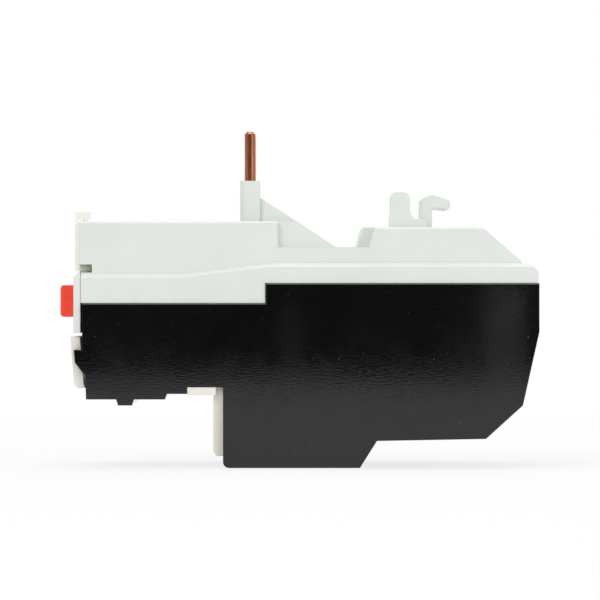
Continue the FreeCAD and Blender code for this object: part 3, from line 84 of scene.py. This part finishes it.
class Finish:
    """One material and short ways to add nodes to it."""

    def __init__(self, name):
        self.material = bpy.data.materials.new(name)
        self.material.use_nodes = True
        self.tree = self.material.node_tree
        self.shader = self.tree.nodes["Principled BSDF"]
        self.place = self.add("ShaderNodeTexCoord").outputs["Object"]

    def add(self, kind, **fields):
        node = self.tree.nodes.new(kind)
        for field, value in fields.items():
            setattr(node, field, value)
        return node

    def link(self, source, target):
        self.tree.links.new(source, target)

    def stretched(self, scale):
        """The object's coordinates, scaled along each axis."""
        mapping = self.add("ShaderNodeMapping")
        mapping.inputs["Scale"].default_value = scale
        self.link(self.place, mapping.inputs["Vector"])
        return mapping.outputs["Vector"]

    def noise(self, size, detail, stretch=None):
        """A noise whose blotches are about size metres across."""
        node = self.add("ShaderNodeTexNoise")
        node.inputs["Scale"].default_value = 1 / size
        node.inputs["Detail"].default_value = detail
        self.link(self.stretched(stretch) if stretch else self.place, node.inputs["Vector"])
        return node.outputs["Fac"]

    def spread(self, value, low, high, source=NOISE_RANGE):
        """The value between the two ends of source, spread from low to high."""
        node = self.add("ShaderNodeMapRange")
        node.inputs["From Min"].default_value = source[0]
        node.inputs["From Max"].default_value = source[1]
        node.inputs["To Min"].default_value = low
        node.inputs["To Max"].default_value = high
        self.link(value, node.inputs["Value"])
        return node.outputs["Result"]

    def between(self, share, first, second):
        """A colour from first to second, by a share from 0 to 1."""
        node = self.add("ShaderNodeMix", data_type="RGBA")
        for socket, colour in ((MIX_FIRST, first), (MIX_SECOND, second)):
            if isinstance(colour, tuple):
                node.inputs[socket].default_value = colour
            else:
                self.link(colour, node.inputs[socket])
        self.link(share, node.inputs[MIX_SHARE])
        return node.outputs[MIX_RESULT]

    def relief(self, height, depth, edge):
        """A bump of that depth, over edges that look rounded by the radius edge."""
        node = self.add("ShaderNodeBump")
        node.inputs["Strength"].default_value = 1.0
        node.inputs["Distance"].default_value = depth
        self.link(height, node.inputs["Height"])
        bevel = self.add("ShaderNodeBevel", samples=BEVEL_SAMPLES)
        bevel.inputs["Radius"].default_value = edge
        self.link(bevel.outputs["Normal"], node.inputs["Normal"])
        return node.outputs["Normal"]

    def set(self, **values):
        """Fixed values for the shader's sockets, with _ for each space in a name."""
        for socket, value in values.items():
            self.shader.inputs[socket.replace("_", " ")].default_value = value

    def feed(self, **sources):
        """Links into the shader's sockets, with _ for each space in a name."""
        for socket, source in sources.items():
            self.link(source, self.shader.inputs[socket.replace("_", " ")])


# ---------------------------------------------------------------- finishes

def moulding(name, colour, rough, grain, depth, edge, mottle=0.02):
    """Moulded plastic: faint blotches of tone, a fine spark-eroded grain, and soft edges.
    Size and depth of the grain and the radius of the edges are in millimetres."""
    blotch_size, sheen_size, sheen_swing = 9 * MM, 3 * MM, 0.05
    finish = Finish(name)
    blotch = finish.spread(finish.noise(blotch_size, 4), 0, 1)
    darkest, palest = scaled(colour, 1 - mottle), scaled(colour, 1 + mottle)
    finish.feed(Base_Color=finish.between(blotch, darkest, palest))
    sheen = finish.noise(sheen_size, 3)
    finish.feed(Roughness=finish.spread(sheen, rough - sheen_swing, rough + sheen_swing))
    finish.feed(Normal=finish.relief(finish.noise(grain * MM, 2), depth * MM, edge * MM))
    return finish.material


def black_moulding():
    """Glossy black plastic with the fine ripples of a polished mould, and a few pale specks painted
    in as glints.
    """
    blotch_size, glint_size, sheen_size, ripple_size = 14 * MM, 0.3 * MM, 5 * MM, 0.55 * MM
    ripple_stretch, ripple_depth, edge = (0.4, 1.0, 2.0), 0.0018 * MM, 0.25 * MM
    glint_threshold = (0.84, 0.88)
    finish = Finish("black_moulding")
    blotch = finish.spread(finish.noise(blotch_size, 4), 0, 1)
    black = finish.between(blotch, tone(8, 8, 8), tone(14, 14, 14))
    # Pale grey specks painted into the base colour as sparkle glints of light.
    painted_glint = finish.spread(finish.noise(glint_size, 0), 0, 1, glint_threshold)
    finish.feed(Base_Color=finish.between(painted_glint, black, tone(120, 120, 118)))
    finish.feed(Roughness=finish.spread(finish.noise(sheen_size, 3), 0.035, 0.065))
    ripple = finish.noise(ripple_size, 1, ripple_stretch)
    finish.feed(Normal=finish.relief(ripple, ripple_depth, edge))
    return finish.material


def metal(name, colour, rough, stretch, depth, darker=0.8):
    """Drawn or rolled metal, with streaks along the axis that has the smallest scale in stretch.
    Their depth is in millimetres, and darker is how dark they get as a share of the colour."""
    streak_size, sheen_size, edge = 0.5 * MM, 0.8 * MM, 0.1 * MM
    finish = Finish(name)
    streak = finish.noise(streak_size, 4, stretch)
    colours = finish.between(finish.spread(streak, 0, 1), scaled(colour, darker), colour)
    finish.feed(Base_Color=colours)
    sheen = finish.noise(sheen_size, 3, stretch)
    finish.feed(Roughness=finish.spread(sheen, rough - 0.07, rough + 0.1))
    finish.feed(Normal=finish.relief(streak, depth * MM, edge))
    finish.set(Metallic=1.0)
    return finish.material


def clear_plastic():
    """Thin clear plastic, faintly amber, that lets the light through to what is under it."""
    haze_size, sheen_size, wave_size = 4 * MM, 3 * MM, 2 * MM
    wave_depth, edge = 0.0006 * MM, 0.15 * MM
    finish = Finish("clear_plastic")
    haze = finish.spread(finish.noise(haze_size, 3), 0, 1)
    finish.feed(Base_Color=finish.between(haze, tone(240, 231, 208), tone(245, 237, 216)))
    finish.feed(Roughness=finish.spread(finish.noise(sheen_size, 3), 0.04, 0.12))
    finish.feed(Normal=finish.relief(finish.noise(wave_size, 2), wave_depth, edge))
    finish.set(Alpha=0.28, IOR=1.57)
    return finish.material


# The finish of each of the record's material slots.
FINISHES = {
    "base_black": black_moulding(),
    "lid_pale": moulding("pale_moulding", tone(226, 231, 225), 0.42, 0.35, 0.006, 0.25),
    "panel_pale": moulding("panel_moulding", tone(229, 231, 226), 0.4, 0.35, 0.006, 0.2),
    "cover_cream": moulding("cream_moulding", tone(244, 240, 229), 0.45, 0.3, 0.006, 0.2, 0.03),
    "cover_clear": clear_plastic(),
    "button_red": moulding("red_button", tone(255, 72, 48), 0.3, 0.4, 0.003, 0.3, 0.04),
    "button_blue": moulding("blue_button", tone(36, 84, 168), 0.3, 0.4, 0.003, 0.3, 0.04),
    "button_small": moulding("test_button_red", tone(214, 70, 44), 0.32, 0.4, 0.003, 0.2, 0.04),
    "dial_white": moulding("dial_moulding", tone(238, 237, 230), 0.38, 0.3, 0.004, 0.2),
    "linkage": moulding("linkage_moulding", tone(190, 184, 168), 0.5, 0.4, 0.006, 0.15, 0.04),
    "copper": metal("drawn_copper", tone(178, 112, 82), 0.3, (1.6, 1.6, 0.08), 0.01, 0.6),
    "terminal_metal": metal("plated_strip", tone(206, 192, 150), 0.34, (1, 1, 0.1), 0.006),
    "bimetal": metal("bimetal_strip", tone(176, 172, 164), 0.38, (0.1, 1, 1), 0.006),
    "heater": metal("heater_ribbon", tone(156, 148, 138), 0.4, (1, 0.1, 1), 0.006),
    "screw_steel": metal("zinc_plate", tone(202, 200, 192), 0.3, (1, 1, 1), 0.004, 0.88),
}


def dress(shown, finish):
    """Puts one finish on the whole of an object."""
    if not shown.material_slots:
        shown.data.materials.append(finish)
    for place in shown.material_slots:
        place.material = finish


slot_of = {entry["node"]: entry["material_slot"] for entry in RECORD["subparts"]}
for part_name, shown in NODES.items():
    dress(shown, FINISHES[slot_of[part_name]])


# ---------------------------------------------------------------- scale round the setting dial

LID_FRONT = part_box("top_housing")[0].x
DIAL_AXIS = next(
    joint["pos_m"] for joint in RECORD["behaviour"]["joints"] if joint["name"] == "dial_turn"
)
# The middle of the dial, on the front of the lid.
DIAL = Vector((LID_FRONT, DIAL_AXIS[1], DIAL_AXIS[2]))
DIAL_RADIUS = 4.0 * MM
PRINT_PROUD = 0.03 * MM
INK = moulding("printed_ink", tone(38, 38, 40), 0.5, 0.2, 0.001, 0.02, 0.08)
# The front as an observer sees it: rightwards, upwards and towards the eye.
FRONT_AXES = Matrix(((0, 0, -1), (-1, 0, 0), (0, 1, 0)))
# The marks go over the dial's upper half, a long one at every fourth step.
SCALE_START, SCALE_END = math.radians(195), math.radians(-15)
SCALE_STEPS, LONG_EVERY = 16, 4
TICK_GAP, TICK_WIDTH = 0.25 * MM, 0.16 * MM
LONG_TICK, SHORT_TICK = 0.7 * MM, 0.4 * MM
# Each number, its place right of the dial's centre and above it, and its size, in millimetres.
NUMBERS = (
    ("1.6", -6.3, -1.2, 1.25),
    ("1.8", -5.1, 3.8, 1.25),
    ("2", 0, 5.5, 1.1),
    ("2.2", 5.1, 3.8, 1.25),
    ("2.5", 6.3, -1.2, 1.25),
)


def on_front(right, up):
    """A place on the lid's front, from the dial's centre."""
    return DIAL + FRONT_AXES @ Vector((right, up, PRINT_PROUD))


def add_print(name, mesh):
    """A printed piece on the lid."""
    piece = bpy.data.objects.new(name, mesh)
    bpy.context.scene.collection.objects.link(piece)
    dress(piece, INK)
    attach(piece, "housing")


def flat_mesh(name, outlines):
    """One mesh of flat faces, each given by its corners."""
    build = bmesh.new()
    for outline in outlines:
        build.faces.new([build.verts.new(corner) for corner in outline])
    mesh = bpy.data.meshes.new(name)
    build.to_mesh(mesh)
    build.free()
    return mesh


def tick(angle, inner, outer):
    """The corners of a mark that points at the dial's centre."""
    along = Vector((math.cos(angle), math.sin(angle)))
    across = Vector((-along.y, along.x)) * TICK_WIDTH / 2
    ends = (
        along * inner - across,
        along * outer - across,
        along * outer + across,
        along * inner + across,
    )
    return [on_front(*end) for end in ends]


def scale_ticks():
    """The marks of the scale, as one piece."""
    inner = DIAL_RADIUS + TICK_GAP
    marks = []
    for step in range(SCALE_STEPS + 1):
        angle = SCALE_START + (SCALE_END - SCALE_START) * step / SCALE_STEPS
        length = LONG_TICK if step % LONG_EVERY == 0 else SHORT_TICK
        marks.append(tick(angle, inner, inner + length))
    add_print("dial_scale", flat_mesh("dial_scale", marks))


def scale_number(text, right, up, size):
    """A printed number, turned into a mesh."""
    curve = bpy.data.curves.new("number", "FONT")
    curve.body = text
    curve.size = size
    curve.align_x = "CENTER"
    curve.align_y = "CENTER"
    shape = bpy.data.objects.new("number", curve)
    bpy.context.scene.collection.objects.link(shape)
    bpy.context.view_layer.update()
    mesh = bpy.data.meshes.new_from_object(shape)
    bpy.data.objects.remove(shape)
    bpy.data.curves.remove(curve)
    mesh.transform(Matrix.Translation(on_front(right, up)) @ FRONT_AXES.to_4x4())
    name = "dial_number_" + text.replace(".", "_")
    mesh.name = name
    add_print(name, mesh)


scale_ticks()
for text, right, up, size in NUMBERS:
    scale_number(text, right * MM, up * MM, size * MM)


# ---------------------------------------------------------------- studio

# How strongly the white background lights the object.
WORLD_LEVEL = 0.37
FLOOR_WIDTH = 8.0
FLOOR_DROP = 0.0002
FLOOR_GREY = 0.9
# The floor shows as this share of plain white near the object and far from it.
FLOOR_WHITE_NEAR, FLOOR_WHITE_FAR = 0.8, 1.0
FLOOR_FADE = (0.12, 0.5)
# Each panel's name, width, height, centre and glow. A dark flag keeps the upper half of the
# black side deep, and two dim strips stand before it.
FLAG_HEIGHT = 1.4
GLOSS_PANELS = (
    ("dark_flag", 3.4, FLAG_HEIGHT, (0, -1.02, cad_low.z + FLAG_HEIGHT / 2), 0.03),
    ("right_strip", 0.016, 0.042, (0.103, -1.0, -0.037), 0.5),
    ("left_strip", 0.007, 0.03, (0.0135, -1.0, -0.043), 0.25),
)
# Each lamp's name, place, width, height and power in watts. They aim at the relay's middle.
LAMPS = (
    ("key_lamp", (-0.45, -0.8, 0.75), 0.6, 0.6, 5.2),
    ("fill_lamp", (0.8, -0.7, 0.3), 0.7, 0.7, 3.2),
    ("top_lamp", (0.0, 0.1, 1.0), 0.8, 0.5, 3.3),
    ("back_lamp", (0.2, 0.9, 0.6), 0.8, 0.8, 3.3),
)


def plate(name, width, depth, centre, turn=(0, 0, 0)):
    """A flat rectangle of the studio."""
    mesh = bpy.data.meshes.new(name)
    build = bmesh.new()
    bmesh.ops.create_grid(build, x_segments=1, y_segments=1, size=0.5)
    build.to_mesh(mesh)
    build.free()
    made = bpy.data.objects.new(name, mesh)
    made.scale = (width, depth, 1)
    made.location = centre
    made.rotation_euler = turn
    bpy.context.scene.collection.objects.link(made)
    return made


def shown_white(tree):
    """1 for the rays with which the camera, gloss and glass see a surface, and 0 for all others."""
    path = tree.nodes.new("ShaderNodeLightPath")
    shown = path.outputs["Is Camera Ray"]
    for kind in ("Is Glossy Ray", "Is Transmission Ray"):
        either = tree.nodes.new("ShaderNodeMath")
        either.operation = "MAXIMUM"
        tree.links.new(shown, either.inputs[0])
        tree.links.new(path.outputs[kind], either.inputs[1])
        shown = either.outputs[0]
    return shown


def white_world():
    """A background that shows as white, and lights the object more dimly."""
    world = bpy.data.worlds.new("studio")
    bpy.context.scene.world = world
    world.use_nodes = True
    tree = world.node_tree
    background = tree.nodes["Background"]
    background.inputs["Color"].default_value = (1, 1, 1, 1)
    strength = tree.nodes.new("ShaderNodeMapRange")
    strength.inputs["To Min"].default_value = WORLD_LEVEL
    strength.inputs["To Max"].default_value = 1.0
    tree.links.new(shown_white(tree), strength.inputs["Value"])
    tree.links.new(strength.outputs["Result"], background.inputs["Strength"])


def white_floor():
    """A pale floor that takes a faint shadow near the object and shows as white far from it."""
    finish = Finish("floor")
    finish.set(Base_Color=(FLOOR_GREY,) * 3 + (1,), Roughness=0.9, Specular_IOR_Level=0.0)
    glow = finish.add("ShaderNodeEmission")
    mix = finish.add("ShaderNodeMixShader")
    whiten = finish.add("ShaderNodeMath", operation="MULTIPLY")
    reach = finish.add("ShaderNodeVectorMath", operation="LENGTH")
    finish.link(finish.add("ShaderNodeNewGeometry").outputs["Position"], reach.inputs[0])
    share = finish.spread(reach.outputs["Value"], FLOOR_WHITE_NEAR, FLOOR_WHITE_FAR, FLOOR_FADE)
    finish.link(shown_white(finish.tree), whiten.inputs[0])
    finish.link(share, whiten.inputs[1])
    finish.link(whiten.outputs[0], mix.inputs[0])
    finish.link(finish.shader.outputs[0], mix.inputs[1])
    finish.link(glow.outputs[0], mix.inputs[2])
    finish.link(mix.outputs[0], finish.tree.nodes["Material Output"].inputs["Surface"])
    floor = plate("floor", FLOOR_WIDTH, FLOOR_WIDTH, (0, 0, cad_low.z - FLOOR_DROP))
    dress(floor, finish.material)


def gloss_panel(name, width, height, centre, glow):
    """A panel behind the camera that shows in gloss alone."""
    panel = plate(name, width, height, centre, (math.radians(90), 0, 0))
    finish = Finish(name)
    finish.set(Base_Color=(0, 0, 0, 1), Specular_IOR_Level=0.0)
    finish.set(Emission_Color=(1, 1, 1, 1), Emission_Strength=glow)
    dress(panel, finish.material)
    panel.visible_camera = False
    panel.visible_diffuse = False
    panel.visible_transmission = False
    panel.visible_shadow = False


def lamp(name, place, width, height, watts):
    """A soft rectangular lamp."""
    data = bpy.data.lights.new(name, "AREA")
    data.shape = "RECTANGLE"
    data.size = width
    data.size_y = height
    data.energy = watts
    made = bpy.data.objects.new(name, data)
    made.location = place
    aim = (cad_low + cad_high) / 2 - Vector(place)
    made.rotation_euler = aim.to_track_quat("-Z", "Y").to_euler()
    bpy.context.scene.collection.objects.link(made)


white_world()
white_floor()
for panel in GLOSS_PANELS:
    gloss_panel(*panel)
for row in LAMPS:
    lamp(*row)


# ---------------------------------------------------------------- camera

PICTURE_MIDDLE = Vector((10.0 * MM, 0, -24 * MM))
# The line of sight meets the relay here, a little nearer its front than the picture's middle.
SIGHT_X = 3.0 * MM
SIGHT_DISTANCE = 900 * MM
SEEN_WIDTH = 120 * MM
SENSOR_WIDTH = 36
camera_data = bpy.data.cameras.new("camera")
camera_data.sensor_width = SENSOR_WIDTH
camera_data.lens = SENSOR_WIDTH * SIGHT_DISTANCE / SEEN_WIDTH
camera_data.shift_x = (PICTURE_MIDDLE.x - SIGHT_X) / SEEN_WIDTH
camera_data.clip_start = 0.01
camera_data.clip_end = 20
camera = bpy.data.objects.new("camera", camera_data)
camera.location = (SIGHT_X, cad_low.y - SIGHT_DISTANCE, PICTURE_MIDDLE.z)
camera.rotation_euler = (math.radians(90), 0, 0)
bpy.context.scene.collection.objects.link(camera)
bpy.context.scene.camera = camera
bpy.context.scene.view_settings.view_transform = "Standard"
